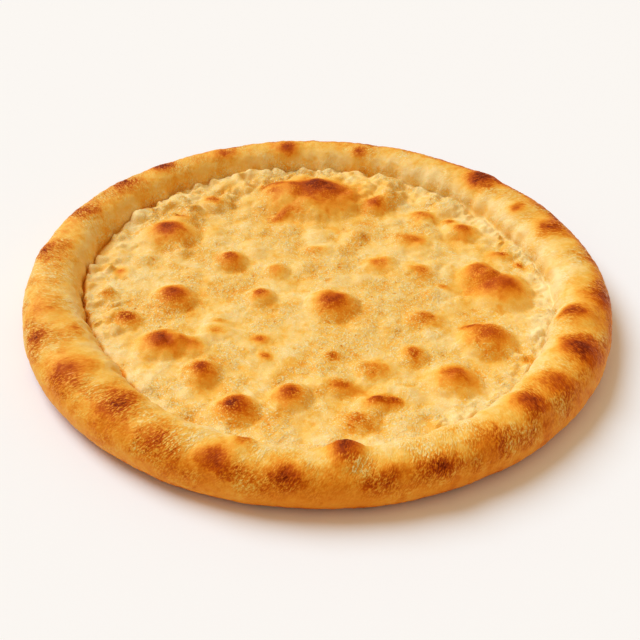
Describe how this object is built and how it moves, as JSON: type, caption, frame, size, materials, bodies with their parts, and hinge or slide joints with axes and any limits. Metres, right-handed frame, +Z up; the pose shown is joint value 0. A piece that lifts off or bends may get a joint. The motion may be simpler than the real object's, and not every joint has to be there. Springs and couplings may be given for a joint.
{
  "type": "pizza crust",
  "caption": "Round baked pizza crust without toppings: a thin blistered floor inside a puffed, browned rim, with a flat underside to rest on.",
  "frame": {"origin": "middle of the flat underside, on the table", "axes": "+Z up through the thickness; +Y towards the side with the great dome"},
  "size_m": [0.2993, 0.2994, 0.0255],
  "materials": {
    "baked_dough": "matt golden baked dough with brown blisters"
  },
  "bodies": {
    "root": {"crust": "baked_dough"}
  },
  "joints": []
}
